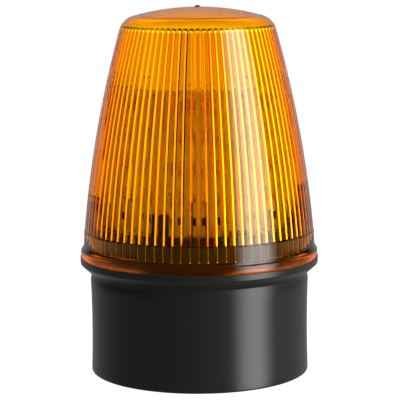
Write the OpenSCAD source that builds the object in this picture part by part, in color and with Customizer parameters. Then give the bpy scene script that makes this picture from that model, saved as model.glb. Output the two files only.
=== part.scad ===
// Flashing warning beacon. A fluted amber lens cap is twist-locked on a black
// moulded base, which carries a round circuit board and a six-sided tower of
// LED boards. Millimetres, +Z up. The origin is the centre of the standing face.

/* [Base] */
// Diameter of the skirt at its foot and at its head
skirt_d = 97; // [95:0.5:99]
// How far the skirt draws in between foot and head
skirt_waist = 0.4; // [0:0.1:0.8]
// Height of the flange face that the lens stands on
flange_z = 51.5; // [45:0.5:60]
// How far the flange stands out past the skirt
flange_out = 4.4; // [3.8:0.1:6]
// Height of the upright edge of the flange
flange_edge = 2.4; // [1.5:0.1:3.5]
// Rounding under the edge of the flange
flange_round = 1; // [0.4:0.1:1.6]
// Height of the sloped collar under the flange
collar_h = 3.8; // [3:0.1:5]
// Depth of the shadow groove under the collar
shadow_depth = 0.4; // [0.2:0.1:0.8]
// Height of the shadow groove
shadow_h = 2.6; // [1.5:0.1:4]
// Wall of the skirt and of the spigot
base_wall = 2.6; // [2.2:0.1:3]
// Rounding round the foot of the skirt
foot_round = 0.8; // [0.3:0.1:1.5]
// Thickness of the floor
floor_t = 3; // [2:0.5:4]
// Height of the space under the floor
recess_h = 4; // [3:0.5:6]
// How far the spigot reaches past the fluted band of the lens
spigot_rise = 3.4; // [2:0.2:5]
// Width of the webs that stiffen the pillars
web_t = 2.2; // [1.6:0.2:3]

/* [Fixing] */
// Diameter of the circle of the fixing holes
fixing_pcd = 72; // [66:1:74]
// Diameter of a fixing hole
fixing_hole_d = 5.5; // [4.5:0.1:6.5]
// Number of fixing holes
fixing_count = 3; // [2:1:4]
// Diameter of the boss round a fixing hole
fixing_boss_d = 11; // [9:0.5:13]
// Diameter of the cable hole in the floor
cable_hole_d = 20; // [16:0.5:24]
// Diameter of the bore of the grommet
cable_d = 7; // [5:0.5:9]
// Width of the gasket under the base
gasket_w = 3.8; // [2.5:0.1:4.5]
// Wall of the ring that holds the gasket
gasket_rib = 2; // [1.5:0.1:3]

/* [Lens] */
// Height of the dome of the lens above the flange
lens_h = 109.8; // [101:0.1:120]
// Wall of the lens between two flute ridges
lens_wall = 2; // [1.8:0.1:2.2]
// Wall of the plain crown above the flutes
crown_wall = 1.8; // [1.5:0.1:2]
// How far the bead round the foot of the lens stands back from the flange
bead_in = 0.3; // [0:0.1:0.6]
// Height of the upright edge of the bead
bead_edge = 2.7; // [2:0.1:3.2]
// Rounding of the shoulder of the bead
bead_round = 1.1; // [0.6:0.1:1.4]
// Height of the plain rim inside the foot
rim_h = 4.9; // [4.4:0.1:6]
// Height of the fluted band above the rim
band_h = 6.65; // [5:0.05:9]
// How far the foot of the taper stands back from the bead
taper_in = 1.7; // [1.4:0.1:2]
// Diameter of the taper at the head of the flutes
taper_head_d = 68; // [66:0.5:72]
// Radius of the bulge of the taper
taper_bulge_r = 488; // [420:1:700]
// Small step outward from the taper to the band
band_step = 0.2; // [0.1:0.05:0.4]
// Distance from the top of the dome down to the head of the flutes
crown_h = 8.6; // [7.8:0.1:11]
// Radius of the dome
dome_r = 106; // [95:1:150]
// Rounding of the shoulder between taper and dome
shoulder_r = 8.5; // [6:0.1:10]
// Diameter of the moulding pip on the dome
pip_d = 2.6; // [2:0.1:4]
// Height of the moulding pip
pip_h = 0.7; // [0.6:0.1:1.5]

/* [Flutes] */
// Number of flutes round the lens
flute_count = 80; // [48:1:90]
// Height of a ridge at the foot of the taper
ridge_h = 0.55; // [0.3:0.05:0.8]
// Share of the pitch that the ridge takes
ridge_share = 0.4; // [0.25:0.05:0.6]
// Height of a ridge in the band
band_ridge_h = 0.4; // [0.2:0.05:0.5]
// Share of the pitch that a ridge takes in the band
band_ridge_share = 0.24; // [0.15:0.01:0.4]
// How far the wall of the band is thinned inside
band_relief = 0.4; // [0.2:0.05:0.6]

/* [Twist lock] */
// Number of locking lugs
lug_count = 3; // [2:1:4]
// Angle that a lug takes
lug_angle = 14; // [8:1:20]
// Height of a lug
lug_h = 2.4; // [1.6:0.1:3]
// Angle at which the first lug starts
lug_start = 68; // [60:1:76]
// How deep the lock groove goes into the spigot
lock_depth = 1.4; // [0.8:0.1:1.6]
// Angle that the lens turns to lock
lock_turn = 26; // [18:1:40]

/* [Board] */
// Thickness of all the circuit boards
board_t = 1.6; // [1:0.1:2]
// How far the main board lies below the head of the spigot
board_drop = 4.4; // [4:0.2:6]
// How far the board screws stand in from the spigot
screw_in = 5.5; // [5:0.1:7]
// Diameter of a board screw
screw_d = 2.9; // [2.4:0.1:3.2]
// Length of a board screw under its head
screw_l = 8; // [6:0.5:12]
// Diameter of the head of a board screw
screw_head_d = 5.6; // [5:0.1:6]
// Height of the head of a board screw
screw_head_h = 2; // [1.6:0.1:2.4]
// Diameter of a pillar
pillar_d = 7.2; // [6:0.2:8]

/* [LED tower] */
// Distance across the outer faces of the tower
tower_af = 52; // [46:0.5:53]
// Height of the tower above the main board
tower_h = 61; // [56:0.5:63]
// Number of LEDs on a board
led_rows = 4; // [2:1:4]
// Distance from one LED to the next
led_pitch = 13.3; // [9:0.1:14]
// Distance from the head of the tower down to the first LED
led_drop = 4.7; // [4.2:0.1:8]
// Width and height of an LED
led_w = 7; // [4:0.1:8]
// Thickness of the body of an LED
led_t = 1.3; // [0.8:0.1:1.8]
// Diameter of the resin dome of an LED
led_dome_d = 5; // [3:0.1:6]
// Height of the resin dome
led_dome_h = 0.6; // [0.3:0.1:1]

/* [Hidden] */
$fn = 96;

// Clearances and small fixed sizes
lens_gap = 0.4;      // spigot to the ridges of the lens
board_gap = 0.4;     // main board to the spigot
slip = 0.2;          // pieces that drop into one another
snug = 0.05;         // screws in their holes, seals in their grooves
cut = 1;             // how far a cutter stands past the face it cuts
edge = 0.2;          // smallest edge break

// Levels
skirt_r = skirt_d / 2;
flange_r = skirt_r + flange_out;
bead_r = flange_r - bead_in;
taper_foot_r = bead_r - taper_in;
collar_top_z = flange_z - flange_edge - flange_round;
collar_z = collar_top_z - collar_h;
floor_z = recess_h + floor_t;
band_z = flange_z + rim_h;
taper_z = band_z + band_h;
dome_z = flange_z + lens_h;
flute_top_z = dome_z - crown_h;
spigot_z = taper_z + spigot_rise;

// A point on a circle about c, at angle a from the radial direction
function on_arc(c, r, a) = c + r * [cos(a), sin(a)];
// Angle of the direction from p to q
function heading(p, q) = atan2(q.y - p.y, q.x - p.x);
// Points of an arc about c from angle a to angle b, in n steps
function arc(c, r, a, b, n) = [for (i = [0:n]) on_arc(c, r, a + (b - a) * i / n)];
// Centre of the circle of radius r through p and q that bulges away from the axis
function bulge_centre(p, q, r) =
    let (m = (p + q) / 2, d = norm(q - p), n = [q.y - p.y, p.x - q.x] / d)
    m - n * sqrt(r * r - d * d / 4);
// Outer meeting point of two circles
function meet(c, r, e, s) =
    let (v = e - c, d = norm(v), a = (d * d + r * r - s * s) / (2 * d), h = sqrt(r * r - a * a))
    c + v / d * a + [-v.y, v.x] / d * h;

// The taper, the shoulder and the dome are three arcs that run into one another
taper_c = bulge_centre([taper_foot_r, taper_z], [taper_head_d / 2, flute_top_z], taper_bulge_r);
dome_c = [0, dome_z - dome_r];
shoulder_c = meet(taper_c, taper_bulge_r - shoulder_r, dome_c, dome_r - shoulder_r);
taper_a0 = asin((taper_z - taper_c.y) / taper_bulge_r);
shoulder_a0 = heading(taper_c, shoulder_c);
shoulder_a1 = heading(dome_c, shoulder_c);

// Radius of the taper at height z, at depth t under its outer face
function taper_r(z, t) =
    taper_c.x + sqrt((taper_bulge_r - t) * (taper_bulge_r - t) - (z - taper_c.y) * (z - taper_c.y));

// Radii that fit the spigot, the boards and the tower into the lens
spigot_r = taper_r(spigot_z, lens_wall) - ridge_h - lens_gap;
spigot_in_r = spigot_r - base_wall;
skirt_in_r = skirt_r - base_wall;
band_r = taper_foot_r + band_step;
band_in_r = taper_r(taper_z, lens_wall) + band_relief;
rim_in_r = band_in_r + edge;
lug_in_r = spigot_r - lock_depth + slip;
lug_z = flange_z + slip + (rim_h - lug_h) / 4;
board_r = spigot_in_r - board_gap;
screw_ring_r = spigot_in_r - screw_in;
board_z = spigot_z - board_drop;
board_top_z = board_z + board_t;
tower_z = board_top_z + tower_h;
face_r = tower_af / 2;

// Shoulder of the bead: from its upright edge to the foot of the band
bead_top_z = flange_z + bead_edge;
band_foot_r = band_r + 2 * edge;
bead_slope = 68;     // where the rounding of the bead ends

module lens_outline() {
    polygon(concat(
        [[0, flange_z], [bead_r - edge, flange_z], [bead_r, flange_z + edge]],
        arc([bead_r - bead_round, bead_top_z], bead_round, 0, bead_slope, 4),
        [[band_foot_r, bead_top_z + 2 * bead_round], [band_r, taper_z - edge]],
        arc(taper_c, taper_bulge_r, taper_a0, shoulder_a0, 24),
        arc(shoulder_c, shoulder_r, shoulder_a0, shoulder_a1, 8),
        arc(dome_c, dome_r, shoulder_a1, acos(pip_d / 2 / dome_r), 8),
        [[pip_d / 2, dome_z + pip_h - 2 * edge]],
        arc([0, dome_z + pip_h - pip_d], pip_d, 66, 90, 4)));
}

// Hollow of the crown, above the flutes
module crown_hollow() {
    lift = asin((flute_top_z - taper_c.y) / (taper_bulge_r - crown_wall));
    start = min(lift, shoulder_a0);
    polygon(concat(
        [[0, flute_top_z]],
        arc(taper_c, taper_bulge_r - crown_wall, start, shoulder_a0, 2),
        arc(shoulder_c, shoulder_r - crown_wall, shoulder_a0, shoulder_a1, 8),
        arc(dome_c, dome_r - crown_wall, shoulder_a1, 90, 8)));
}

// Section of the hollow at land radius r: flat lands with rounded ridges between
function flute_section(r, h, share) =
    [for (i = [0:flute_count - 1], k = [-2:2])
        let (a = (i + share * [-0.5, -0.2, 0, 0.2, 0.5][k + 2]) * 360 / flute_count,
             q = r - h * [0, 0.75, 1, 0.75, 0][k + 2])
        q * [cos(a), sin(a)]];

// Plain hollow behind the long flutes
module taper_hollow() {
    r = taper_bulge_r - lens_wall;
    foot = asin((taper_z - edge - taper_c.y) / r);
    head = asin((flute_top_z + edge - taper_c.y) / r);
    polygon(concat([[0, taper_z - edge]], arc(taper_c, r, foot, head, 8), [[0, flute_top_z + edge]]));
}

// Side view of a flute ridge: a strip along the taper, with its back in the wall
module ridge_strip(h) {
    r = taper_bulge_r - lens_wall;
    foot = asin((taper_z - taper_c.y) / r);
    head = asin((flute_top_z - taper_c.y) / r);
    polygon(concat(
        arc(taper_c, r + lens_wall / 4, foot, head, 6),
        arc(taper_c, r - h, head, foot, 6)));
}

// The ridges stand on the plain wall, one to each flute
module flute_ridges(share, h) {
    sweep = share * 360 / flute_count;
    for (i = [0:flute_count - 1])
        rotate([0, 0, i * 360 / flute_count - sweep / 2])
            rotate_extrude(angle = sweep)
                ridge_strip(h);
}

// A ring sector between two radii, from angle a, at height z
module sector(r0, r1, z, h, a, sweep) {
    rotate([0, 0, a])
        rotate_extrude(angle = sweep)
            translate([r0, z])
                square([r1 - r0, h]);
}

module lens() {
    color("orange", 0.7) {
        difference() {
            rotate_extrude() lens_outline();
            rotate_extrude() crown_hollow();
            rotate_extrude() taper_hollow();
            translate([0, 0, band_z - cut])
                linear_extrude(band_h + cut)
                    polygon(flute_section(band_in_r, band_ridge_h, band_ridge_share));
            translate([0, 0, flange_z - cut])
                cylinder(r = rim_in_r, h = rim_h + cut);
        }
        flute_ridges(ridge_share, ridge_h);
        for (k = [0:lug_count - 1])
            sector(lug_in_r, rim_in_r + edge, lug_z, lug_h, lug_start + k * 360 / lug_count, lug_angle);
    }
}

seal_r = (rim_in_r + bead_r) / 2;
seal_w = 1.4;
seal_t = 1.2;

module lens_seal() {
    color("black")
        rotate_extrude()
            translate([seal_r - seal_w / 2 + snug, flange_z - seal_t])
                square([seal_w - 2 * snug, seal_t]);
}

module base_outline() {
    chord = collar_z - shadow_h - foot_round;
    waist_r = skirt_waist > 0 ? (chord * chord / 4 + skirt_waist * skirt_waist) / (2 * skirt_waist) : 0;
    sweep = skirt_waist > 0 ? asin(chord / 2 / waist_r) : 0;
    waist_c = [skirt_r - skirt_waist + waist_r, foot_round + chord / 2];
    skirt = skirt_waist > 0 ? arc(waist_c, waist_r, 180 + sweep, 180 - sweep, 12)
        : [[skirt_r, foot_round], [skirt_r, foot_round + chord]];
    polygon(concat(
        [[0, 0]],
        arc([skirt_r - foot_round, foot_round], foot_round, -90, 0, 4),
        skirt,
        [[skirt_r - shadow_depth, collar_z - shadow_h / 2], [skirt_r - shadow_depth, collar_z]],
        arc([flange_r - flange_round, collar_top_z + flange_round], flange_round, -45, 0, 4),
        [[flange_r, flange_z - edge], [flange_r - edge, flange_z], [spigot_r, flange_z],
            [spigot_r, spigot_z - 2 * edge], [spigot_r - 2 * edge, spigot_z], [0, spigot_z]]));
}

gasket_r = skirt_in_r - gasket_w;

module base_hollow() {
    // Room for the circuit, above the floor
    shoulder_z = collar_top_z - base_wall;
    rotate_extrude()
        polygon([[0, floor_z], [skirt_in_r, floor_z], [skirt_in_r, shoulder_z - skirt_in_r + spigot_in_r],
            [spigot_in_r, shoulder_z], [spigot_in_r, spigot_z + cut], [0, spigot_z + cut]]);
    // Room under the floor, inside the gasket ring
    translate([0, 0, -cut])
        cylinder(r = gasket_r - gasket_rib, h = recess_h + cut);
    // Channel of the gasket
    translate([0, 0, -cut])
        difference() {
            cylinder(r = skirt_in_r, h = recess_h + cut);
            cylinder(r = gasket_r, h = recess_h + cut);
        }
}

module at_fixings() {
    for (k = [0:fixing_count - 1])
        rotate([0, 0, 90 + k * 360 / fixing_count])
            translate([fixing_pcd / 2, 0, 0])
                children();
}

module at_screws() {
    for (k = [0:3])
        rotate([0, 0, 45 + k * 90])
            translate([screw_ring_r, 0, 0])
                children();
}

module base() {
    color([0.13, 0.13, 0.13])
        difference() {
            union() {
                difference() {
                    rotate_extrude() base_outline();
                    base_hollow();
                }
                at_fixings() cylinder(d = fixing_boss_d, h = floor_z + 1);
                at_screws() {
                    translate([0, 0, floor_z - cut])
                        cylinder(d = pillar_d, h = board_z - floor_z + cut);
                    translate([0, -web_t / 2, floor_z - cut])
                        cube([skirt_in_r + cut - screw_ring_r, web_t, flange_z - floor_z]);
                }
            }
            at_fixings()
                translate([0, 0, -cut])
                    cylinder(d = fixing_hole_d, h = floor_z + 1 + 2 * cut);
            at_screws()
                translate([0, 0, board_z - screw_l])
                    cylinder(d = screw_d + 2 * snug, h = screw_l + cut);
            translate([0, 0, recess_h - cut])
                cylinder(d = cable_hole_d, h = floor_t + 2 * cut);
            seal_groove();
            lock_grooves();
        }
}

module seal_groove() {
    rotate_extrude()
        translate([seal_r - seal_w / 2, flange_z - seal_t])
            square([seal_w, seal_t + cut]);
}

// The lugs drop down an open groove and turn under the closed one
module lock_grooves() {
    depth_r = spigot_r - lock_depth;
    play = 1;
    for (k = [0:lug_count - 1]) {
        a = lug_start + k * 360 / lug_count;
        sector(depth_r, spigot_r + cut, lug_z - slip, lug_h + 2 * slip, a - play, lock_turn + lug_angle + 2 * play);
        sector(depth_r - slip, spigot_r + cut, lug_z + lug_h / 2, spigot_z - lug_z + cut,
            a + lock_turn - play / 2, lug_angle + play);
    }
}

module base_gasket() {
    color([0.2, 0.2, 0.2])
        difference() {
            cylinder(r = skirt_in_r - slip, h = recess_h);
            translate([0, 0, -cut])
                cylinder(r = gasket_r + slip, h = recess_h + 2 * cut);
        }
}

module cable_grommet() {
    hole_r = cable_hole_d / 2;
    lip = 2.4;
    lip_t = 2;
    nose_h = 5;
    color([0.16, 0.16, 0.17])
        rotate_extrude()
            polygon([
                [cable_d / 2, recess_h - lip_t], [hole_r + lip, recess_h - lip_t],
                [hole_r + lip, recess_h], [hole_r - snug, recess_h], [hole_r - snug, floor_z],
                [hole_r + lip, floor_z], [hole_r + lip - lip_t / 2, floor_z + lip_t],
                [hole_r - 1, floor_z + lip_t], [cable_d / 2 + 1, floor_z + lip_t + nose_h],
                [cable_d / 2, floor_z + lip_t + nose_h]]);
}

// Tabs of the upright boards, and the width that lets them meet at the corners
tab_w = 5;
tab_y = 7;
tab_past = 1.2;
led_board_w = 2 * (face_r - board_t) * tan(30) - slip;
ring_r = (face_r / cos(30) + board_r) / 2;
wire_hole_d = 7;
resistor_z = board_top_z + 5;

// Turns a child from the +X side to face k of the tower, 1 at the front
module at_face(k) {
    rotate([0, 0, -90 + 60 * (k - 1)]) children();
}

// Stands a child on the main board, between the tower and the edge, at angle a
module on_board(a) {
    rotate([0, 0, a])
        translate([ring_r, 0, board_top_z])
            children();
}

// A block centred on x and y, from height z up
module block(size, z = 0) {
    translate([-size.x / 2, -size.y / 2, z]) cube(size);
}

module led_board(k) {
    color([0.86, 0.85, 0.78])
        at_face(k)
            translate([face_r - board_t, 0, 0]) {
                translate([0, -led_board_w / 2, board_top_z])
                    cube([board_t, led_board_w, tower_h]);
                for (y = [-tab_y, tab_y])
                    translate([0, y - tab_w / 2, board_z - tab_past])
                        cube([board_t, tab_w, board_t + tab_past + cut]);
                translate([0, -tab_w / 2, tower_z - cut])
                    cube([board_t, tab_w, cut + board_t + tab_past / 2]);
            }
}

module led() {
    translate([0, -led_w / 2, -led_w / 2])
        cube([led_t, led_w, led_w]);
    rotate([0, 90, 0])
        rotate_extrude()
            polygon([[0, led_t / 2], [led_dome_d / 2, led_t / 2], [led_dome_d / 2, led_t],
                [led_dome_d * 0.42, led_t + led_dome_h * 0.6], [led_dome_d * 0.25, led_t + led_dome_h * 0.92],
                [0, led_t + led_dome_h]]);
}

module leds(k) {
    color([0.96, 0.93, 0.7])
        at_face(k)
            for (i = [0:led_rows - 1])
                translate([face_r, 0, tower_z - led_drop - i * led_pitch])
                    led();
}

module series_resistors() {
    color([0.12, 0.12, 0.12])
        for (k = [1:6])
            at_face(k)
                translate([face_r, -3.2, resistor_z])
                    cube([0.6, 6.4, 3.2]);
}

module main_board() {
    color([0.1, 0.3, 0.17])
        difference() {
            translate([0, 0, board_z])
                cylinder(r = board_r, h = board_t);
            at_screws()
                translate([0, 0, board_z - cut])
                    cylinder(d = screw_d + 2 * slip, h = board_t + 2 * cut);
            for (k = [1:6], y = [-tab_y, tab_y])
                at_face(k)
                    translate([face_r - board_t - slip / 2, y - tab_w / 2 - slip / 2, board_z - cut])
                        cube([board_t + slip, tab_w + slip, board_t + 2 * cut]);
            rotate([0, 0, -16])
                translate([ring_r, 0, board_z - cut])
                    cylinder(d = wire_hole_d, h = board_t + 2 * cut);
        }
}

module top_board() {
    color([0.86, 0.85, 0.78])
        difference() {
            translate([0, 0, tower_z])
                cylinder(r = (face_r + slip) / cos(30), h = board_t, $fn = 6);
            for (k = [1:6])
                at_face(k)
                    translate([face_r - board_t - slip / 2, -tab_w / 2 - slip / 2, tower_z - cut])
                        cube([board_t + 2 * slip + cut, tab_w + slip, board_t + 2 * cut]);
        }
}

module board_screws() {
    color("silver")
        at_screws()
            difference() {
                union() {
                    translate([0, 0, board_top_z])
                        cylinder(d = screw_head_d, h = screw_head_h);
                    translate([0, 0, board_top_z - screw_l])
                        cylinder(d = screw_d, h = screw_l + snug);
                }
                translate([0, 0, board_top_z + screw_head_h / 2])
                    for (a = [0, 90])
                        rotate([0, 0, a])
                            block([screw_head_d * 0.6, 0.8, screw_head_h]);
            }
}

// Terminal block: one pole is a clamp in an opening, and a screw in a well above it
pole_pitch = 5;
block_d = 8;
block_h = 11;
well_z = 8;
well_d = 3.8;
clamp = [3.6, 5, 4];
clamp_z = 2.4;
clamp_y = -0.9;

module at_poles() {
    on_board(0)
        for (x = [-pole_pitch / 2, pole_pitch / 2])
            translate([x, 0, 0])
                children();
}

module terminal_block() {
    color([0.1, 0.11, 0.1])
        difference() {
            on_board(0)
                translate([-pole_pitch, 0, 0])
                    rotate([90, 0, 90])
                        linear_extrude(2 * pole_pitch)
                            polygon([[-block_d / 2, 0], [block_d / 2, 0], [block_d / 2, block_h],
                                [-block_d / 16, block_h], [-block_d / 2, well_z]]);
            at_poles() {
                translate([-clamp.x / 2 - snug, -block_d / 2 - cut, clamp_z])
                    cube([clamp.x + 2 * snug, block_d / 2 + cut + clamp_y + clamp.y / 2 + snug, clamp.z + snug]);
                translate([0, 1, well_z])
                    cylinder(d = well_d, h = block_h);
                translate([0, 1, clamp_z + clamp.z / 2])
                    cylinder(d = well_d - 1.2, h = block_h);
            }
        }
}

module terminal_clamps() {
    color([0.75, 0.72, 0.6])
        at_poles()
            difference() {
                translate([0, clamp_y, 0])
                    block(clamp, clamp_z);
                translate([0, clamp_y + clamp.y, clamp_z + clamp.z / 2])
                    rotate([90, 0, 0])
                        cylinder(d = clamp.x - 1, h = 2 * clamp.y);
            }
}

module terminal_screws() {
    head_h = 2;
    color("silver")
        at_poles()
            translate([0, 1, 0])
                difference() {
                    union() {
                        translate([0, 0, well_z])
                            cylinder(d = well_d - 2 * snug, h = head_h);
                        translate([0, 0, clamp_z + clamp.z])
                            cylinder(d = well_d - 1.2 - 2 * snug, h = well_z - clamp_z - clamp.z + snug);
                    }
                    block([well_d, 0.7, head_h], well_z + head_h / 2);
                }
}

// An electrolytic capacitor: a can with a rolled groove near its foot
module can(d, h) {
    r = d / 2;
    groove = 0.35;
    rotate_extrude()
        polygon([[0, 0], [r - groove, 0], [r, groove], [r, 1.2], [r - groove, 1.6], [r, 2],
            [r, h - groove], [r - groove, h], [0, h]]);
}

module capacitor_large() {
    color([0.12, 0.12, 0.16]) on_board(180) can(8, 11.5);
}

module capacitor_small_1() {
    color([0.12, 0.12, 0.16]) on_board(-112) can(6.3, 11);
}

module capacitor_small_2() {
    color([0.12, 0.12, 0.16]) on_board(157) can(6.3, 11);
}

// Drum choke: flange, waist, flange
choke_d = 9;
choke_h = 9;
choke_lip = 1.6;
choke_waist_d = 4.8;

module choke_core() {
    color([0.25, 0.25, 0.26])
        on_board(68) {
            cylinder(d = choke_d, h = choke_lip);
            cylinder(d = choke_waist_d, h = choke_h);
            translate([0, 0, choke_h - choke_lip])
                cylinder(d = choke_d, h = choke_lip);
        }
}

module choke_winding() {
    color([0.72, 0.4, 0.2])
        on_board(68)
            translate([0, 0, choke_lip])
                difference() {
                    cylinder(d = choke_d - 0.8, h = choke_h - 2 * choke_lip);
                    translate([0, 0, -cut])
                        cylinder(d = choke_waist_d + 2 * snug, h = choke_h);
                }
}

module varistor() {
    disc_d = 9;
    disc_t = 3.6;
    lift = 1;
    round_t = 0.8;
    color([0.1, 0.2, 0.5])
        on_board(91) {
            translate([-disc_t / 2, 0, lift + disc_d / 2])
                rotate([0, 90, 0])
                    rotate_extrude()
                        polygon([[0, 0], [disc_d / 2 - round_t, 0], [disc_d / 2, round_t],
                            [disc_d / 2, disc_t - round_t], [disc_d / 2 - round_t, disc_t], [0, disc_t]]);
            for (y = [-2.5, 2.5])
                translate([0, y, 0])
                    cylinder(d = 0.8, h = lift + disc_d / 2);
        }
}

module fuse() {
    color([0.3, 0.15, 0.1]) on_board(-22) can(8.4, 7.6);
}

module diode_bridge() {
    body = [8.4, 6.4, 3.3];
    corner = 1.2;
    color([0.1, 0.1, 0.1])
        on_board(-67)
            linear_extrude(body.z)
                polygon([[-body.x / 2, -body.y / 2], [body.x / 2 - corner, -body.y / 2],
                    [body.x / 2, -body.y / 2 + corner], [body.x / 2, body.y / 2], [-body.x / 2, body.y / 2]]);
}

module voltage_regulator() {
    body = [6.1, 6.5, 2.3];
    color([0.1, 0.1, 0.1])
        on_board(112) {
            block(body);
            translate([body.x / 2, 0, 0])
                block([2.4, 5.4, 0.6]);
            for (y = [-2.3, 2.3])
                translate([-body.x / 2 - 1, y, 0])
                    block([2.4, 0.8, 0.6]);
        }
}

module controller_chip() {
    body = [3.9, 4.9, 1.4];
    color([0.1, 0.1, 0.1])
        on_board(-90) {
            block(body, 0.15);
            for (i = [-1.5:1.5])
                translate([0, i * 1.27, 0])
                    block([body.x + 2, 0.45, 0.4]);
        }
}

base();
base_gasket();
cable_grommet();
lens();
lens_seal();
main_board();
board_screws();
terminal_block();
terminal_clamps();
terminal_screws();
capacitor_large();
capacitor_small_1();
capacitor_small_2();
choke_core();
choke_winding();
varistor();
fuse();
diode_bridge();
voltage_regulator();
controller_chip();
top_board();
series_resistors();
for (k = [1:6]) {
    led_board(k);
    leds(k);
}
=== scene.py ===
# %% [markdown]
# # A flashing warning beacon
# A fluted amber cap stands on a black moulded base. Through the cap a tower of
# small circuit boards shows, with square LEDs up each side. The solids come
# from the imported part. This file adds the finer forms and the finishes, and
# everything is in metres, in the frame of the part.

# %% Load the part
import math

import bmesh
import bpy
from mathutils import Matrix, Vector


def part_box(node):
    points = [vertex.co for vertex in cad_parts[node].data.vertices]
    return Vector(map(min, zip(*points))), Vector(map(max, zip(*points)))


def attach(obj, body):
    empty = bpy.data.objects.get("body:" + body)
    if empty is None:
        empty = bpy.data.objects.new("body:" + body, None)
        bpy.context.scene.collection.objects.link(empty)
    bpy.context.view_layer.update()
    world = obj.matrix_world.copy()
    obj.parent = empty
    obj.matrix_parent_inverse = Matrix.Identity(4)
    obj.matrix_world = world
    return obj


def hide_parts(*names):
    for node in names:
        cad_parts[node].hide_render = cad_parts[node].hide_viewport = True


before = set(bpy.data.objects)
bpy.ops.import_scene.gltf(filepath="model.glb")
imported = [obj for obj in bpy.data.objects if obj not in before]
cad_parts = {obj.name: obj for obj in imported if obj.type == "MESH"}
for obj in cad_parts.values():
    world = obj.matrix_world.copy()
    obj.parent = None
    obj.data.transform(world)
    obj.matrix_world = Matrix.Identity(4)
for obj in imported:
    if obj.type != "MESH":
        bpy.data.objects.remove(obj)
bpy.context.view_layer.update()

MM = 0.001

# %% [markdown]
# ## Camera
# The photograph was taken from just above the beacon, with a long lens about
# 0.72 m away. The foot, the flange, the band and the shoulder are rings that
# show as ellipses, and their shapes gave the distance, the tilt and the focal
# length. The camera is set from those numbers instead of being turned by eye.
# A sensor 36 mm wide is the usual one.

# %% Set the camera
CAMERA_AT = Vector((0, -720 * MM, 179.29 * MM))
CAMERA_TILT = math.radians(8.173)
CAMERA_ROLL = -0.00672
FOCAL_PIXELS = 1636.5
FRAME_PIXELS = 400
SENSOR = 36
AXIS_OFF_CENTRE = 1.16

camera = bpy.data.objects.new("camera", bpy.data.cameras.new("camera"))
bpy.context.scene.collection.objects.link(camera)
camera.data.sensor_width = SENSOR
camera.data.lens = FOCAL_PIXELS / FRAME_PIXELS * SENSOR
camera.data.shift_x = AXIS_OFF_CENTRE / FRAME_PIXELS
turn = Matrix.Rotation(math.pi / 2 - CAMERA_TILT, 4, "X") @ Matrix.Rotation(CAMERA_ROLL, 4, "Z")
camera.matrix_world = Matrix.Translation(CAMERA_AT) @ turn
bpy.context.scene.camera = camera
print("focal length", round(camera.data.lens, 1), "mm")

# %% [markdown]
# ## A helper for nodes
# Materials and Geometry Nodes trees are both node trees. One small function
# adds a node, sets its options and fills or links its inputs. Colours are
# written as the hex values that a colour picker shows, and one function turns
# them into the linear values that the renderer works with.

# %% Node and colour helpers
def add(tree, kind, settings=None, links=None):
    made = tree.nodes.new(kind)
    for name, value in (settings or {}).items():
        setattr(made, name, value)
    for key, value in (links or {}).items():
        if isinstance(value, bpy.types.NodeSocket):
            tree.links.new(value, made.inputs[key])
        else:
            made.inputs[key].default_value = value
    return made


def linear(hex_colour):
    parts = [int(hex_colour[i:i + 2], 16) / 255 for i in (1, 3, 5)]
    return tuple(p / 12.92 if p <= 0.04045 else ((p + 0.055) / 1.055) ** 2.4 for p in parts) + (1,)


def new_material(name):
    made = bpy.data.materials.new(name)
    made.use_nodes = True
    made.node_tree.nodes.clear()
    return made


WHITE = linear("#FFFFFF")
SMOOTH = {"interpolation_type": "SMOOTHSTEP"}
print("amber in linear values:", [round(c, 3) for c in linear("#FFA200")])

# %% [markdown]
# ## Studio
# The photograph has a soft box to the right of the camera, a pale sweep behind
# the beacon and a dim room around the photographer. The black base and the
# outside of the cap reflect that room. What is seen through the cap is much
# brighter, because the light that gets in bounces between its walls. Following
# all those bounces would take far too long, so the world answers each kind of
# ray by itself: white to the camera, dim to reflections, and bright to rays
# that have passed through the cap.
#
# The levels are radiances, where 1 is paper white. Each edge says between
# which two values of a direction's axis, from -1 to 1, one level turns into
# the next. Y points away from the camera and Z points up. The dim corner lies
# to the front and a little to the left, and its edge is the cosine of the
# angle from its middle.

# %% Light that reflections meet
ROOM_LIGHT, SWEEP_LIGHT, TABLE_LIGHT = 0.025, 0.36, 0.165
SWEEP_EDGE = (0.6, 0.95)
HORIZON = (-0.11, -0.03)

world = bpy.data.worlds.new("studio")
bpy.context.scene.world = world
world.use_nodes = True
tree = world.node_tree
tree.nodes.clear()
direction = add(tree, "ShaderNodeTexCoord").outputs["Generated"]
axes = add(tree, "ShaderNodeSeparateXYZ", links={0: direction}).outputs
above = add(tree, "ShaderNodeMapRange", SMOOTH, {
    "Value": axes["Y"], "From Min": SWEEP_EDGE[0], "From Max": SWEEP_EDGE[1],
    "To Min": ROOM_LIGHT, "To Max": SWEEP_LIGHT}).outputs[0]
below = add(tree, "ShaderNodeMapRange", links={
    "Value": axes["Y"], "From Min": -1.0, "From Max": 1.0,
    "To Min": 0.0, "To Max": 2 * TABLE_LIGHT}).outputs[0]
level = add(tree, "ShaderNodeMapRange", SMOOTH, {
    "Value": axes["Z"], "From Min": HORIZON[0], "From Max": HORIZON[1]}).outputs[0]
reflected = add(tree, "ShaderNodeMix", {"data_type": "FLOAT"}, {0: level, 2: below, 3: above}).outputs[0]
print("reflections meet", ROOM_LIGHT, "in front and", SWEEP_LIGHT, "behind")

# %% Light that shows through the cap
FRONT_THROUGH, SIDE_THROUGH, BACK_THROUGH = 0.12, 3.6, 1.6
HIGH_THROUGH, ZENITH_THROUGH = 2.4, 0.35
DARK_CORNER = (-0.259, -0.966, 0.0)
CORNER_EDGE = (0.60, 0.80)
BACK_EDGE = (0.1, 0.6)
HIGH_EDGE = (0.3, 0.5)
ZENITH_EDGE = (0.65, 0.85)

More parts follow.
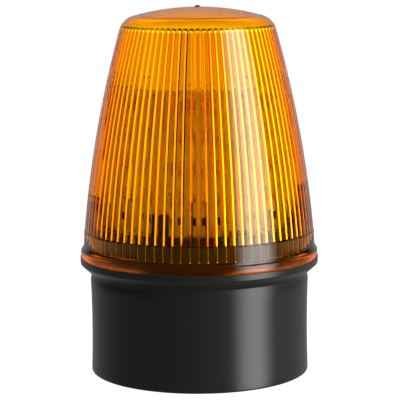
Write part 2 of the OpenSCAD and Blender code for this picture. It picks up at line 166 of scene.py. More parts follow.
corner = add(tree, "ShaderNodeVectorMath", {"operation": "DOT_PRODUCT"},
             {0: direction, 1: DARK_CORNER}).outputs["Value"]
front = add(tree, "ShaderNodeMapRange", SMOOTH, {
    "Value": corner, "From Min": CORNER_EDGE[0], "From Max": CORNER_EDGE[1],
    "To Min": SIDE_THROUGH, "To Max": FRONT_THROUGH}).outputs[0]
around = add(tree, "ShaderNodeMapRange", SMOOTH, {
    "Value": axes["Y"], "From Min": BACK_EDGE[0], "From Max": BACK_EDGE[1],
    "To Min": front, "To Max": BACK_THROUGH}).outputs[0]
overhead = add(tree, "ShaderNodeMapRange", SMOOTH, {
    "Value": axes["Z"], "From Min": ZENITH_EDGE[0], "From Max": ZENITH_EDGE[1],
    "To Min": HIGH_THROUGH, "To Max": ZENITH_THROUGH}).outputs[0]
through = add(tree, "ShaderNodeMapRange", SMOOTH, {
    "Value": axes["Z"], "From Min": HIGH_EDGE[0], "From Max": HIGH_EDGE[1],
    "To Min": around, "To Max": overhead}).outputs[0]
print("through the cap the sides are", round(SIDE_THROUGH / FRONT_THROUGH), "times as bright as the corner")

# %% One world for all rays
rays = add(tree, "ShaderNodeLightPath").outputs
either = add(tree, "ShaderNodeMix", {"data_type": "FLOAT"},
             {0: rays["Is Transmission Ray"], 2: reflected, 3: through}).outputs[0]
seen = add(tree, "ShaderNodeMix", {"data_type": "FLOAT"},
           {0: rays["Is Camera Ray"], 2: either, 3: 1.0}).outputs[0]
sky = add(tree, "ShaderNodeBackground", links={"Color": WHITE, "Strength": seen})
add(tree, "ShaderNodeOutputWorld", links={"Surface": sky.outputs[0]})
bpy.context.scene.view_settings.view_transform = "Standard"
print("world light ready")

# %% [markdown]
# ## Soft box
# A soft box isn't evenly bright. Its cloth glows most in front of the tube and
# fades to the edges, and that is why its mirror image on the cap has no hard
# border. The lamp gets the same falloff across its width: full brightness in
# the middle, and nothing at half its width from there.

# %% Hang the soft box
BOX_AZIMUTH, BOX_ELEVATION = math.radians(57.5), math.radians(4)
BOX_DISTANCE, BOX_WIDTH, BOX_HEIGHT = 1.0, 0.95, 1.3
BOX_POWER = 19.5
BOX_MIDDLE, BOX_EDGE = 0.1, 0.5
BOX_AIM = Vector((0, 0, 90 * MM))

lamp = bpy.data.lights.new("soft_box", "AREA")
lamp.shape = "RECTANGLE"
lamp.size, lamp.size_y = BOX_WIDTH, BOX_HEIGHT
lamp.energy = BOX_POWER
lamp.use_nodes = True
tree = lamp.node_tree
tree.nodes.clear()
place = add(tree, "ShaderNodeNewGeometry").outputs["Parametric"]
across = add(tree, "ShaderNodeSeparateXYZ", links={0: place}).outputs["X"]
off = add(tree, "ShaderNodeMath", {"operation": "SUBTRACT"}, {0: across, 1: 0.5}).outputs[0]
aside = add(tree, "ShaderNodeMath", {"operation": "ABSOLUTE"}, {0: off}).outputs[0]
glow = add(tree, "ShaderNodeMapRange", SMOOTH, {
    "Value": aside, "From Min": BOX_MIDDLE, "From Max": BOX_EDGE, "To Min": 1.0, "To Max": 0.0}).outputs[0]
shine = add(tree, "ShaderNodeEmission", links={"Color": WHITE, "Strength": glow})
add(tree, "ShaderNodeOutputLight", links={"Surface": shine.outputs[0]})

soft_box = bpy.data.objects.new("soft_box", lamp)
bpy.context.scene.collection.objects.link(soft_box)
towards = Vector((math.sin(BOX_AZIMUTH) * math.cos(BOX_ELEVATION),
                  -math.cos(BOX_AZIMUTH) * math.cos(BOX_ELEVATION), math.sin(BOX_ELEVATION)))
soft_box.location = BOX_AIM + BOX_DISTANCE * towards
soft_box.rotation_euler = towards.to_track_quat("Z", "Y").to_euler()
print("soft box at", [round(v, 2) for v in soft_box.location])

# %% [markdown]
# ## Floor
# The beacon stands on a sheet of white paper, and the photograph is exposed so
# that the paper vanishes into the white background. The sheet glows white to
# the camera alone. It also sends a little light up at the base, which lifts
# the hollow under the flange, and it shows brighter behind the beacon than in
# front of it to rays that have passed through the cap. Reflections don't meet
# it, because the world already has a level for them below the horizon.

# %% Lay the floor
FLOOR_HALF = 3.0
FLOOR_BOUNCE = 0.3
FLOOR_THROUGH = 0.9
FLOOR_EDGE = 0.1

corners = [(-1, -1), (1, -1), (1, 1), (-1, 1)]
floor_mesh = bpy.data.meshes.new("floor")
floor_mesh.from_pydata([(x * FLOOR_HALF, y * FLOOR_HALF, 0) for x, y in corners], [], [(0, 1, 2, 3)])
floor = bpy.data.objects.new("floor", floor_mesh)
bpy.context.scene.collection.objects.link(floor)
floor.visible_glossy = False

paper = new_material("matt_white_paper")
tree = paper.node_tree
rays = add(tree, "ShaderNodeLightPath").outputs
place = add(tree, "ShaderNodeNewGeometry").outputs["Position"]
depth = add(tree, "ShaderNodeSeparateXYZ", links={0: place}).outputs["Y"]
behind = add(tree, "ShaderNodeMapRange", SMOOTH, {
    "Value": depth, "From Min": -FLOOR_EDGE, "From Max": FLOOR_EDGE,
    "To Min": FRONT_THROUGH, "To Max": FLOOR_THROUGH}).outputs[0]
through = add(tree, "ShaderNodeMath", {"operation": "MULTIPLY"},
              {0: rays["Is Transmission Ray"], 1: behind}).outputs[0]
bounced = add(tree, "ShaderNodeMath", {"operation": "MULTIPLY_ADD"},
              {0: rays["Is Diffuse Ray"], 1: FLOOR_BOUNCE, 2: through}).outputs[0]
glow = add(tree, "ShaderNodeMath", {"operation": "MAXIMUM"},
           {0: rays["Is Camera Ray"], 1: bounced}).outputs[0]
skin = add(tree, "ShaderNodeBsdfPrincipled", links={
    "Base Color": linear("#E8E8E8"), "Roughness": 0.9, "Specular IOR Level": 0.0,
    "Emission Color": WHITE, "Emission Strength": glow})
add(tree, "ShaderNodeOutputMaterial", links={"Surface": skin.outputs[0]})
floor_mesh.materials.append(paper)
print("floor laid,", 2 * FLOOR_HALF, "m wide")

# %% [markdown]
# ## Shape of the cap
# The cap is injection moulded in clear amber polycarbonate. Its outside is one
# smooth curve: an upright bead at the foot, a plain band, a long taper that
# bulges slightly, a rounded shoulder and a shallow dome with a small moulding
# pip. Each part of that curve is an arc. The half section is worked out here
# as a row of points, radius and height in millimetres.

# %% Arcs
def arc(centre, radius, a, b, steps):
    return [(centre[0] + radius * math.cos(t), centre[1] + radius * math.sin(t))
            for t in (a + (b - a) * i / steps for i in range(steps + 1))]


def level_on(centre, radius, z):
    """Angle at which the circle reaches height z."""
    return math.asin((z - centre[1]) / radius)


def bearing(a, b):
    return math.atan2(b[1] - a[1], b[0] - a[0])


def meeting(a, ra, b, rb):
    """Outer point at distance ra from a and rb from b."""
    gap = math.dist(a, b)
    along = (gap ** 2 + ra ** 2 - rb ** 2) / (2 * gap)
    aside = math.sqrt(ra ** 2 - along ** 2)
    ux, uz = (b[0] - a[0]) / gap, (b[1] - a[1]) / gap
    return a[0] + ux * along - uz * aside, a[1] + uz * along + ux * aside


print("a quarter of a 10 mm circle ends at", [round(v, 3) for v in arc((0, 0), 10, 0, math.pi / 2, 4)[-1]])

# %% Outside of the cap
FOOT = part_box("lens")[0].z / MM
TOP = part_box("lens")[1].z / MM
PIP_R, PIP_HIGH, PIP_FILLET = 1.3, 0.7, 0.25
DOME_HEAD = TOP - PIP_HIGH
DOME_R = 106.0
DOME_CENTRE = (0.0, DOME_HEAD - DOME_R)
SHOULDER_R = 8.5
TAPER_CENTRE, TAPER_R = (-435.004, 17.87), 488.0
BAND_FOOT, BAND_HEAD, BAND_R = FOOT + 4.9, FOOT + 11.55, 51.1
BEAD_CENTRE, BEAD_R, BEAD_TOP = (51.5, FOOT + 2.7), 1.1, math.radians(68)

SHOULDER_CENTRE = meeting(TAPER_CENTRE, TAPER_R - SHOULDER_R, DOME_CENTRE, DOME_R - SHOULDER_R)
into_shoulder = bearing(TAPER_CENTRE, SHOULDER_CENTRE)
into_dome = bearing(DOME_CENTRE, SHOULDER_CENTRE)
foot_of_taper = level_on(TAPER_CENTRE, TAPER_R, BAND_HEAD)
beside_pip = math.pi / 2 - (PIP_R + PIP_FILLET) / DOME_R
widest = BEAD_CENTRE[0] + BEAD_R

outer = [(0.0, TOP), (0.5, TOP - 0.04), (0.9, TOP - 0.18), (PIP_R - 0.1, TOP - 0.4), (PIP_R, DOME_HEAD)]
outer += arc(DOME_CENTRE, DOME_R, beside_pip, into_dome, 14)
outer += arc(SHOULDER_CENTRE, SHOULDER_R, into_dome, into_shoulder, 14)[1:]
outer += arc(TAPER_CENTRE, TAPER_R, into_shoulder, foot_of_taper, 26)[1:]
outer += [(BAND_R, BAND_HEAD - 0.2), (BAND_R + 0.02, BAND_HEAD - 2.4)]
outer += [(BAND_R + 0.2, BAND_FOOT + 0.9), (BAND_R + 0.35, BAND_FOOT - 0.1)]
outer += arc(BEAD_CENTRE, BEAD_R, BEAD_TOP, 0, 6)
outer += [(widest, FOOT + 0.3), (widest - 0.1, FOOT + 0.08), (widest - 0.2, FOOT)]
print("outside of the cap:", len(outer), "points, widest", round(2 * widest, 1), "mm")

# %% [markdown]
# The inside follows the outside 2 mm deeper. Behind the bead it is plain,
# behind the band it has fine lines, and up the taper it carries the flutes:
# 80 upright ridges, V-shaped in section, with a plain land between each two. The
# crown above is plain. Each point of the inside also says how high a ridge
# stands there and what share of the pitch it takes. The ridges keep their
# width up the taper, so their share grows where the cap narrows.

# %% Inside of the cap
WALL, CROWN_WALL = 2.0, 1.8
FLUTES = 80
FLUTE_HEAD = 152.7
RIDGE_WIDTH, RIDGE_RISE = 2.45, 0.87
LINE_RISE, LINE_SHARE = 0.36, 0.24
PLAIN_SHARE = 0.4
BAND_STEP, RIM_STEP = 0.4, 0.2


def share_at(r):
    return RIDGE_WIDTH * FLUTES / (2 * math.pi * r)


inner_taper, crown_taper = TAPER_R - WALL, TAPER_R - CROWN_WALL
lands = arc(TAPER_CENTRE, inner_taper, level_on(TAPER_CENTRE, inner_taper, BAND_HEAD + 0.15),
            level_on(TAPER_CENTRE, inner_taper, FLUTE_HEAD - RIDGE_RISE), 24)
band_r = lands[0][0] + BAND_STEP
rim_r = band_r + RIM_STEP
inside = [(rim_r, FOOT, 0, PLAIN_SHARE), (rim_r, BAND_FOOT - 0.02, 0, PLAIN_SHARE)]
inside += [(band_r, z, LINE_RISE, LINE_SHARE) for z in (BAND_FOOT + 0.02, BAND_HEAD - 0.15)]
inside += [(r, z, RIDGE_RISE, share_at(r)) for r, z in lands]
crown = arc(TAPER_CENTRE, crown_taper, level_on(TAPER_CENTRE, crown_taper, FLUTE_HEAD), into_shoulder, 2)
crown += arc(SHOULDER_CENTRE, SHOULDER_R - CROWN_WALL, into_shoulder, into_dome, 12)[1:]
crown += arc(DOME_CENTRE, DOME_R - CROWN_WALL, into_dome, math.pi / 2, 10)[1:]
inside += [(r, z, 0, PLAIN_SHARE) for r, z in crown]
section = [(r, z, 0, PLAIN_SHARE) for r, z in outer] + inside
print("whole half section:", len(section), "points")

# %% [markdown]
# ## Turning the section into the cap
# The flutes follow a rule, so Geometry Nodes make the cap. A flat grid has one
# row for each point of the section and eight columns for each flute. Every grid
# point looks up its row in the section and is moved to that radius and height,
# at the angle of its column. Five columns of each flute lie across the ridge
# and raise it to a V, the other three lie along the plain land beside it. A
# painted bump would not bend the light as real ridges do, so the ridges are
# real geometry: each flank turns the view sideways, to the soft box on the
# right half and to the dim corner of the room on the left half.

# %% Section as a mesh that the tree can read
def mesh_object(name, points, edges=(), faces=()):
    made = bpy.data.objects.new(name, bpy.data.meshes.new(name))
    made.data.from_pydata(points, list(edges), list(faces))
    bpy.context.scene.collection.objects.link(made)
    return made


half_section = mesh_object("section_of_cap", [(r * MM, 0, z * MM) for r, z, _, _ in section],
                           [(i, i + 1) for i in range(len(section) - 1)])
flute = half_section.data.attributes.new("flute", "FLOAT_VECTOR", "POINT")
for point, (_, _, rise, share) in zip(flute.data, section):
    point.vector = (rise * MM, share, 1 - share)
print("each point carries the rise of its ridge, the share of the ridge and the share of the land")

# %% Helpers for trees
SHARP_ANGLE = math.radians(28)


def new_tree(name, inputs):
    made = bpy.data.node_groups.new(name, "GeometryNodeTree")
    made.interface.new_socket(name="Geometry", in_out="INPUT", socket_type="NodeSocketGeometry")
    made.interface.new_socket(name="Geometry", in_out="OUTPUT", socket_type="NodeSocketGeometry")
    for label, kind in inputs:
        made.interface.new_socket(name=label, in_out="INPUT", socket_type="NodeSocket" + kind)
    return made


def soft_shaded(tree, geometry):
    """Smooth shading on the faces, with the edges that are sharper than SHARP_ANGLE kept sharp."""
    turned = add(tree, "GeometryNodeInputMeshEdgeAngle").outputs[0]
    soft = add(tree, "ShaderNodeMath", {"operation": "LESS_THAN"}, {0: turned, 1: SHARP_ANGLE}).outputs[0]
    faces = add(tree, "GeometryNodeSetShadeSmooth", {"domain": "FACE"},
                {"Geometry": geometry, "Shade Smooth": True}).outputs[0]
    return add(tree, "GeometryNodeSetShadeSmooth", {"domain": "EDGE"},
               {"Geometry": faces, "Shade Smooth": soft}).outputs[0]


def finish_tree(tree, geometry, finish):
    real = add(tree, "GeometryNodeRealizeInstances", links={"Geometry": geometry}).outputs[0]
    done = add(tree, "GeometryNodeSetMaterial", links={"Geometry": real, "Material": finish}).outputs[0]
    add(tree, "NodeGroupOutput", links={0: done})
    return tree


def grow(holder, tree, values, name):
    """Run the tree on the holder, and keep its result as a plain mesh object."""
    modifier = holder.modifiers.new("grow", "NODES")
    modifier.node_group = tree
    for item in tree.interface.items_tree:
        if item.in_out == "INPUT" and item.name in values:
            modifier[item.identifier] = values[item.name]
    ready = holder.evaluated_get(bpy.context.evaluated_depsgraph_get())
    grown = bpy.data.meshes.new_from_object(ready)
    holder.modifiers.remove(modifier)
    grown.name = name
    piece = bpy.data.objects.new(name, grown)
    bpy.context.scene.collection.objects.link(piece)
    bpy.data.objects.remove(holder)
    print(name, "has", len(grown.polygons), "faces")
    return piece


print("edges sharper than", round(math.degrees(SHARP_ANGLE)), "degrees stay sharp")

# %% [markdown]
# The tree has three parts. The first finds the row, the flute and the column
# of a grid point from its index. The second finds how far across the ridge or
# along the land that column is: `across` runs from -0.5 to 0.5 over the ridge
# and stays there, and `along` runs from 0 to 1 over the land. The third turns
# both into an angle and a radius. The first and the last column meet, and are
# merged, so the cap is closed.

# %% Tree of the fluted cap
MERGE_GAP = 1e-6


def cap_tree():
    tree = new_tree("fluted_cap", [("Flutes", "Int"), ("Columns", "Int"), ("Ridge columns", "Int"),
                                   ("Rows", "Int"), ("Finish", "Material")])
    given = add(tree, "NodeGroupInput").outputs
    round_trip = add(tree, "FunctionNodeIntegerMath", {"operation": "MULTIPLY_ADD"},
                     {0: given["Flutes"], 1: given["Columns"], 2: 1}).outputs[0]
    grid = add(tree, "GeometryNodeMeshGrid",
               links={"Vertices X": given["Rows"], "Vertices Y": round_trip}).outputs["Mesh"]

    # Row, flute and column
    index = add(tree, "GeometryNodeInputIndex").outputs[0]
    row = add(tree, "FunctionNodeIntegerMath", {"operation": "DIVIDE_FLOOR"},
              {0: index, 1: round_trip}).outputs[0]
    in_row = add(tree, "FunctionNodeIntegerMath", {"operation": "MODULO"},
                 {0: index, 1: round_trip}).outputs[0]
    flute = add(tree, "FunctionNodeIntegerMath", {"operation": "DIVIDE_FLOOR"},
                {0: in_row, 1: given["Columns"]}).outputs[0]
    column = add(tree, "FunctionNodeIntegerMath", {"operation": "MODULO"},
                 {0: in_row, 1: given["Columns"]}).outputs[0]

    # What the section says of the row
    place = add(tree, "GeometryNodeInputPosition").outputs[0]
    carried = add(tree, "GeometryNodeInputNamedAttribute", {"data_type": "FLOAT_VECTOR"},
                  {"Name": "flute"}).outputs[0]
    looked_up = []
    for value in (place, carried):
        sampled = add(tree, "GeometryNodeSampleIndex", {"data_type": "FLOAT_VECTOR", "domain": "POINT"},
                      {"Geometry": given["Geometry"], "Value": value, "Index": row}).outputs[0]
        looked_up.append(add(tree, "ShaderNodeSeparateXYZ", links={0: sampled}).outputs)
    spot, (rise, ridge_share, land_share) = looked_up

    # Place within the flute
    last = add(tree, "FunctionNodeIntegerMath", {"operation": "SUBTRACT"},
               {0: given["Ridge columns"], 1: 1}).outputs[0]
    across = add(tree, "ShaderNodeMapRange", links={
        "Value": column, "From Min": 0.0, "From Max": last, "To Min": -0.5, "To Max": 0.5}).outputs[0]
    along = add(tree, "ShaderNodeMapRange", links={
        "Value": column, "From Min": last, "From Max": given["Columns"],
        "To Min": 0.0, "To Max": 1.0}).outputs[0]
    on_land = add(tree, "ShaderNodeMath", {"operation": "MULTIPLY"}, {0: along, 1: land_share}).outputs[0]
    within = add(tree, "ShaderNodeMath", {"operation": "MULTIPLY_ADD"},
                 {0: across, 1: ridge_share, 2: on_land}).outputs[0]

    # Angle and radius
    pitch = add(tree, "ShaderNodeMath", {"operation": "DIVIDE"},
                {0: 2 * math.pi, 1: given["Flutes"]}).outputs[0]
    flutes_on = add(tree, "ShaderNodeMath", {"operation": "ADD"}, {0: flute, 1: within}).outputs[0]
    angle = add(tree, "ShaderNodeMath", {"operation": "MULTIPLY"}, {0: flutes_on, 1: pitch}).outputs[0]
    aside = add(tree, "ShaderNodeMath", {"operation": "ABSOLUTE"}, {0: across}).outputs[0]
    height = add(tree, "ShaderNodeMapRange", links={
        "Value": aside, "From Min": 0.0, "From Max": 0.5, "To Min": rise, "To Max": 0.0}).outputs[0]
    radius = add(tree, "ShaderNodeMath", {"operation": "SUBTRACT"}, {0: spot["X"], 1: height}).outputs[0]
    ahead = add(tree, "ShaderNodeCombineXYZ", links={"X": radius, "Z": spot["Z"]}).outputs[0]
    turned = add(tree, "ShaderNodeVectorRotate", {"rotation_type": "Z_AXIS"},
                 {"Vector": ahead, "Angle": angle}).outputs[0]
    moved = add(tree, "GeometryNodeSetPosition", links={"Geometry": grid, "Position": turned}).outputs[0]
    closed = add(tree, "GeometryNodeMergeByDistance",
                 links={"Geometry": moved, "Distance": MERGE_GAP}).outputs[0]
    return finish_tree(tree, soft_shaded(tree, closed), given["Finish"])


fluted_cap = cap_tree()
print("the tree of the cap has", len(fluted_cap.nodes), "nodes")

# %% [markdown]
# ## Amber polycarbonate
# The cap is clear plastic, dyed right through. Light loses its blue at once
# and some of its green with every millimetre, so thick places such as the bead
# look brown and thin ones look yellow. The colour therefore sits in the
# volume, as absorption, and the surface stays clear. The dye is worked out
# from the shares of red, green and blue that get through one wall.
# Polycarbonate bends light strongly, with an index of about 1.58. The mould is
# polished over the flutes and left satin in the crown, so the flutes draw
# sharp lines while the dome looks a little milky.

# %% Amber polycarbonate, dyed and moulded
THROUGH_ONE_WALL = (0.95, 0.60, 0.012)
POLYCARBONATE_IOR = 1.585
FLUTE_GLOSS, CROWN_GLOSS = 0.03, 0.16
SATIN_FROM, SATIN_FULL = FLUTE_HEAD - 4, FLUTE_HEAD + 1

loss = [-math.log(t) / (WALL * MM) for t in THROUGH_ONE_WALL]
dye_density = max(loss)
dye_colour = tuple(1 - part / dye_density for part in loss) + (1,)

amber = new_material("amber_polycarbonate")
tree = amber.node_tree
place = add(tree, "ShaderNodeTexCoord").outputs["Object"]
height = add(tree, "ShaderNodeSeparateXYZ", links={0: place}).outputs["Z"]
polish = add(tree, "ShaderNodeMapRange", SMOOTH, {
    "Value": height, "From Min": SATIN_FROM * MM, "From Max": SATIN_FULL * MM,
    "To Min": FLUTE_GLOSS, "To Max": CROWN_GLOSS}).outputs[0]
clear = add(tree, "ShaderNodeBsdfPrincipled", links={
    "Base Color": WHITE, "Roughness": polish, "IOR": POLYCARBONATE_IOR, "Transmission Weight": 1.0})
dye = add(tree, "ShaderNodeVolumeAbsorption", links={"Color": dye_colour, "Density": dye_density})
add(tree, "ShaderNodeOutputMaterial", links={"Surface": clear.outputs[0], "Volume": dye.outputs[0]})
print("dye: density", round(dye_density), "colour", [round(c, 3) for c in dye_colour])

# %% Grow the cap
COLUMNS, RIDGE_COLUMNS = 8, 5
cap = grow(half_section, fluted_cap, {"Flutes": FLUTES, "Columns": COLUMNS, "Ridge columns": RIDGE_COLUMNS,
                                      "Rows": len(section), "Finish": amber}, "amber_cap")
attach(cap, "root")
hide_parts("lens")

# %% [markdown]
# ## A finish for moulded and plated parts
# Most of the small parts differ in colour and gloss, but their surfaces are
# made in the same way for the eye: a fine grain that breaks up the highlight,
# and broad faint patches where the colour is a little darker. One function
# makes such a material from the colour, the gloss and the size of the grain.
# The real grains are 0.02 to 0.1 mm, too fine to show from here, so they are
# drawn a few tenths of a millimetre wide.

# %% Grained finish
PATCH_MM = 16.7
PATCH_DARKER = 0.15
GLOSS_SWING = 0.12


def grained(name, colour, roughness, grain_mm, depth_mm, metal=0.0):
    made = new_material(name)
    tree = made.node_tree
    place = add(tree, "ShaderNodeTexCoord").outputs["Object"]
    grain = add(tree, "ShaderNodeTexNoise", links={
        "Vector": place, "Scale": 1 / (grain_mm * MM), "Detail": 2.0, "Roughness": 0.6}).outputs[0]
    patches = add(tree, "ShaderNodeTexNoise", links={
        "Vector": place, "Scale": 1 / (PATCH_MM * MM), "Detail": 3.0}).outputs[0]
    darker = tuple(c * (1 - PATCH_DARKER) for c in linear(colour)[:3]) + (1,)
    tint = add(tree, "ShaderNodeMix", {"data_type": "RGBA"}, {0: patches, 6: darker, 7: linear(colour)})
    gloss = add(tree, "ShaderNodeMapRange", links={
        "Value": grain, "To Min": roughness * (1 - GLOSS_SWING),
        "To Max": min(roughness * (1 + GLOSS_SWING), 1)})
    bump = add(tree, "ShaderNodeBump", links={
        "Height": grain, "Distance": depth_mm * MM, "Strength": 0.6})
    skin = add(tree, "ShaderNodeBsdfPrincipled", links={
        "Base Color": tint.outputs[2], "Roughness": gloss.outputs[0], "Metallic": metal,
        "Normal": bump.outputs[0]})
    add(tree, "ShaderNodeOutputMaterial", links={"Surface": skin.outputs[0]})
    return made


print("patches are", PATCH_MM, "mm wide")

# %% [markdown]
# ## Moulded base
# The base is glass-filled nylon or a similar black plastic, moulded in a tool
# with a fine spark-eroded grain. The grain scatters the light into a broad
# soft highlight. The solid already has the right shape, so a merged copy of it
# only gets smooth shading, with its real edges kept sharp.

# %% Base
BASE_SHARP = math.radians(30)


def smooth_copy(node, name):
    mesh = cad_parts[node].data.copy()
    mesh.name = name
    made = bpy.data.objects.new(name, mesh)
    bpy.context.scene.collection.objects.link(made)
    work = bmesh.new()
    work.from_mesh(mesh)
    bmesh.ops.remove_doubles(work, verts=work.verts, dist=MERGE_GAP)
    work.to_mesh(mesh)
    work.free()
    if mesh.has_custom_normals:
        mesh.attributes.remove(mesh.attributes["custom_normal"])
    mesh.shade_smooth()
    mesh.set_sharp_from_angle(angle=BASE_SHARP)
    return made


base = smooth_copy("base", "moulded_base")
base.data.materials.clear()
base.data.materials.append(grained("grained_black_nylon", "#343431", roughness=0.26,
                                   grain_mm=0.45, depth_mm=0.012))
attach(base, "root")
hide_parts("base")
print("the base has", len(base.data.polygons), "faces")

# %% [markdown]
# ## LEDs
# Each face of the tower carries a column of square surface-mount LEDs: a cream
# plastic body with a round well, a dome of yellow silicone in the well, and
# three soldered legs on either side. One LED is drawn as three small closed
# meshes. Body and dome are made of rings of points, one above the other, in
# millimetres, with the first axis pointing out of the board. A leg is a bent
# bar with four corners at each of the three points of its profile.
# The legs on one side mirror those on the other, so their faces are listed
# the other way round to point outwards too. A tree then sets copies up the six
# faces of the tower, so a change of one number moves them all.

# %% Body and dome of one LED
LED_WIDE, LED_THICK, LED_CHAMFER = 7.0, 1.3, 0.15
WELL_R, WELL_DEPTH, WELL_TAPER = 2.6, 0.35, 0.2
DOME_EDGE, DOME_RISE = WELL_R - 0.22, 0.88
DOME_FOOT, DOME_SIDE = LED_THICK - 0.34, LED_THICK - 0.3
RING_POINTS = 32


def ring(outline, height):
    spots = [outline(2 * math.pi * (i + 0.5) / RING_POINTS) for i in range(RING_POINTS)]
    return [(height * MM, y * MM, z * MM) for y, z in spots]


def square(half):
    return lambda t: (half * math.cos(t) / max(abs(math.cos(t)), abs(math.sin(t))),
                      half * math.sin(t) / max(abs(math.cos(t)), abs(math.sin(t))))


def circle(r):
    return lambda t: (r * math.cos(t), r * math.sin(t))


def stack(name, rings):
    """Closed mesh through rings of equal count, with a flat cap on each end."""
    n = len(rings[0])
    faces = [tuple(range(n))[::-1], tuple(range((len(rings) - 1) * n, len(rings) * n))]
    for k in range(len(rings) - 1):
        for i in range(n):
            j = (i + 1) % n
            faces.append((k * n + i, k * n + j, (k + 1) * n + j, (k + 1) * n + i))
    return mesh_object(name, [v for r in rings for v in r], faces=faces)


led_body = stack("led_body", [
    ring(square(LED_WIDE / 2), 0), ring(square(LED_WIDE / 2), LED_THICK - LED_CHAMFER),
    ring(square(LED_WIDE / 2 - LED_CHAMFER), LED_THICK), ring(circle(WELL_R), LED_THICK),
    ring(circle(WELL_R - WELL_TAPER), LED_THICK - WELL_DEPTH)])
led_dome = stack("led_dome", [ring(circle(DOME_EDGE), DOME_FOOT)] + [
    ring(circle(DOME_EDGE * math.cos(t)), DOME_SIDE + DOME_RISE * math.sin(t))
    for t in (math.radians(a) for a in (0, 15, 30, 45, 60, 75, 87))])
print("body and dome of one LED:", len(led_body.data.polygons) + len(led_dome.data.polygons), "faces")

# %% Legs of one LED
LEG_PITCH, LEG_HALF = 2.2, 0.55
LEG_PROFILE = [(LED_WIDE / 2 - 0.2, 0.75), (LED_WIDE / 2 + 0.3, 0.6), (LED_WIDE / 2 + 0.75, 0.12)]
LEG_ENDS = [(0, 2, 3, 1), (8, 9, 11, 10)]
LEG_SIDES = [(1, 3, 7, 5), (0, 4, 6, 2), (0, 1, 5, 4), (2, 6, 7, 3)]

legs, leg_faces = [], []
for side in (-1, 1):
    for middle in (-LEG_PITCH, 0.0, LEG_PITCH):
        start = len(legs)
        for y, high in LEG_PROFILE:
            for z in (middle - LEG_HALF, middle + LEG_HALF):
                legs += [(0, side * y * MM, z * MM), (high * MM, side * y * MM, z * MM)]
        own = LEG_ENDS + [tuple(k + i for i in face) for k in (0, 4) for face in LEG_SIDES]
        leg_faces += [tuple(start + i for i in (face[::-1] if side > 0 else face)) for face in own]
led_legs = mesh_object("led_legs", legs, faces=leg_faces)
print("legs of one LED:", len(leg_faces), "faces")

# %% [markdown]
# Two steps of copying fill the tower. A line of points that runs down from the
# top row takes one LED each and makes a column. A second line, with all its
# points on the axis, takes that column once for each face, turned a little
# further each time. The first face looks towards the camera.

# %% Tree that fills the faces
def faces_tree():
    tree = new_tree("up_the_faces", [("Rows", "Int"), ("Faces", "Int"), ("Pitch", "Float"),
                                     ("Top", "Float"), ("Out", "Float"), ("Finish", "Material")])
    given = add(tree, "NodeGroupInput").outputs
    top = add(tree, "ShaderNodeCombineXYZ", links={"X": given["Out"], "Z": given["Top"]}).outputs[0]
    drop = add(tree, "ShaderNodeMath", {"operation": "MULTIPLY"}, {0: given["Pitch"], 1: -1.0}).outputs[0]
    down = add(tree, "ShaderNodeCombineXYZ", links={"Z": drop}).outputs[0]
    rows = add(tree, "GeometryNodeMeshLine",
               links={"Count": given["Rows"], "Start Location": top, "Offset": down}).outputs[0]
    column = add(tree, "GeometryNodeInstanceOnPoints", links={
        "Points": rows, "Instance": soft_shaded(tree, given["Geometry"])}).outputs[0]
    sides = add(tree, "GeometryNodeMeshLine", links={
        "Count": given["Faces"], "Start Location": (0, 0, 0), "Offset": (0, 0, 0)}).outputs[0]
    index = add(tree, "GeometryNodeInputIndex").outputs[0]
    step = add(tree, "ShaderNodeMath", {"operation": "DIVIDE"},
               {0: 2 * math.pi, 1: given["Faces"]}).outputs[0]
    angle = add(tree, "ShaderNodeMath", {"operation": "MULTIPLY_ADD"},
                {0: index, 1: step, 2: -math.pi / 2}).outputs[0]
    turned = add(tree, "ShaderNodeCombineXYZ", links={"Z": angle}).outputs[0]
    tower = add(tree, "GeometryNodeInstanceOnPoints", links={
        "Points": sides, "Instance": column, "Rotation": turned}).outputs[0]
    return finish_tree(tree, tower, given["Finish"])


up_the_faces = faces_tree()
print("the tree of the LEDs has", len(up_the_faces.nodes), "nodes")

# %% [markdown]
# The body is moulded nylon, cream and dull, so it stays a pale square behind
# the amber. The dome is soft silicone with yellow phosphor in it, which gives
# each LED a wet yellow centre. The legs are dipped in tin solder and flash
# where they bend.

# %% Fill the tower
FACES, LED_ROWS = 6, 4
LED_PITCH = 13.3 * MM
FACE_AT = 26.0 * MM
led_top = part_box("leds_1")[1].z - LED_WIDE / 2 * MM

led_housing = grained("led_housing_nylon", "#D9D2BC", roughness=0.45, grain_mm=0.3, depth_mm=0.004)
phosphor = grained("phosphor_silicone", "#E3B23C", roughness=0.18, grain_mm=0.3, depth_mm=0.002)
solder = grained("tin_solder", "#C9CACB", roughness=0.28, grain_mm=0.2, depth_mm=0.004, metal=1.0)
led_nodes = ["leds_%d" % k for k in range(1, FACES + 1)]
for unit, name, finish, slot in ((led_body, "led_bodies", led_housing, "led_resin"),
                                 (led_dome, "led_domes", phosphor, "led_resin"),
                                 (led_legs, "led_solder_legs", solder, "zinc_steel")):
    piece = grow(unit, up_the_faces, {"Rows": LED_ROWS, "Faces": FACES, "Pitch": LED_PITCH,
                                      "Top": led_top, "Out": FACE_AT, "Finish": finish}, name)
    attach(piece, "root")
    if name == "led_bodies":
        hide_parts(*led_nodes)

# %% [markdown]
# ## Finishes of the small solids
# Every other solid keeps its form and gets a finish of its own. The keys are
# the slots of the part, and the name after each is that of the real material.
#
# Rubber and foam are the dullest blacks. The seal and the grommet are moulded
# and have a faint sheen. The gasket is closed-cell foam, with pores that
# swallow the light.

# %% Rubber and foam
finishes = {
    "black_rubber": grained("moulded_rubber", "#1A1A1A", roughness=0.7, grain_mm=0.6, depth_mm=0.01),
    "foam_rubber": grained("closed_cell_foam", "#202020", roughness=0.9, grain_mm=0.5, depth_mm=0.05),
}
print("rubber and foam:", len(finishes), "finishes")

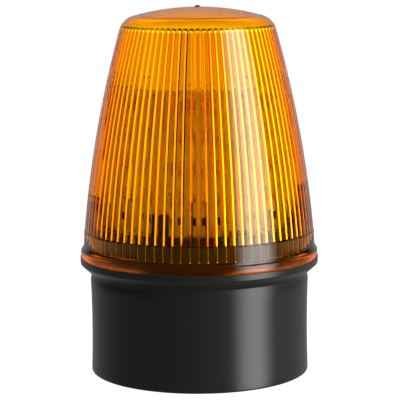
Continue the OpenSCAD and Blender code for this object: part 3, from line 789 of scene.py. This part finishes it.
# %% [markdown]
# The boards are glass-fibre laminate under a lacquer that keeps the solder
# off. The lacquer is fairly glossy, and the weave of the glass makes it a
# little uneven. The main board is green. The boards of the tower are white,
# which sends the light of the LEDs out and gives the cap its pale core.

# %% Boards
finishes["green_board"] = grained("green_board_lacquer", "#1E5A33", roughness=0.35,
                                  grain_mm=0.8, depth_mm=0.004)
finishes["white_board"] = grained("white_board_lacquer", "#E9E6DC", roughness=0.4,
                                  grain_mm=0.8, depth_mm=0.004)
print("with the boards:", len(finishes), "finishes")

# %% [markdown]
# Three metals show as small sparks: zinc-plated screws, cool and bright,
# nickel-plated brass clamps, slightly warm, and the copper wire of the choke,
# whose enamel makes it orange and glossy. They all keep the default index.

# %% Metals
finishes["zinc_steel"] = grained("zinc_plated_steel", "#C9CBCC", roughness=0.3,
                                 grain_mm=0.3, depth_mm=0.004, metal=1.0)
finishes["nickel_brass"] = grained("nickel_plated_brass", "#D8D2B8", roughness=0.3,
                                   grain_mm=0.3, depth_mm=0.004, metal=1.0)
finishes["copper_wire"] = grained("enamelled_copper", "#B5652B", roughness=0.3,
                                  grain_mm=0.2, depth_mm=0.004, metal=1.0)
print("with the metals:", len(finishes), "finishes")

# %% [markdown]
# The rest are the coats of the circuit parts. The terminal block is moulded
# nylon, a dull black. The capacitors wear a shrunk sleeve, smooth and a little
# blue. The core of the choke is sintered ferrite, grey as a stone. The
# varistor is dipped in blue epoxy, with a rounded wet look. The fuse has a
# brown moulded cap. Chips are moulded in black epoxy, matt from the tool, and
# the resistors are glazed black.

# %% Coats of the circuit parts
finishes["black_nylon"] = grained("moulded_nylon", "#161616", roughness=0.5, grain_mm=0.4, depth_mm=0.01)
finishes["capacitor_sleeve"] = grained("shrunk_sleeve", "#1B1B26", roughness=0.35,
                                       grain_mm=0.5, depth_mm=0.004)
finishes["ferrite"] = grained("sintered_ferrite", "#2E2E30", roughness=0.6, grain_mm=0.4, depth_mm=0.01)
finishes["varistor_coat"] = grained("dipped_blue_epoxy", "#1C4F8F", roughness=0.35,
                                    grain_mm=0.5, depth_mm=0.01)
finishes["fuse_cap"] = grained("moulded_brown_plastic", "#5A2A18", roughness=0.4,
                               grain_mm=0.5, depth_mm=0.004)
finishes["black_epoxy"] = grained("moulded_black_epoxy", "#121212", roughness=0.5,
                                  grain_mm=0.4, depth_mm=0.006)
finishes["resistor_body"] = grained("glazed_resistor", "#151515", roughness=0.4,
                                    grain_mm=0.4, depth_mm=0.006)
print("with the coats:", len(finishes), "finishes")

# %% Dress the small solids
dressed = ["lens", "base"] + led_nodes
for name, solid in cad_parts.items():
    if name in dressed:
        continue
    for slot in solid.material_slots:
        slot.material = finishes[slot.material.name]
print("solids with a finish of their own:", len(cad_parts) - len(dressed))

# %% [markdown]
# ## Last step

# %% Finish
print("beacon dressed")
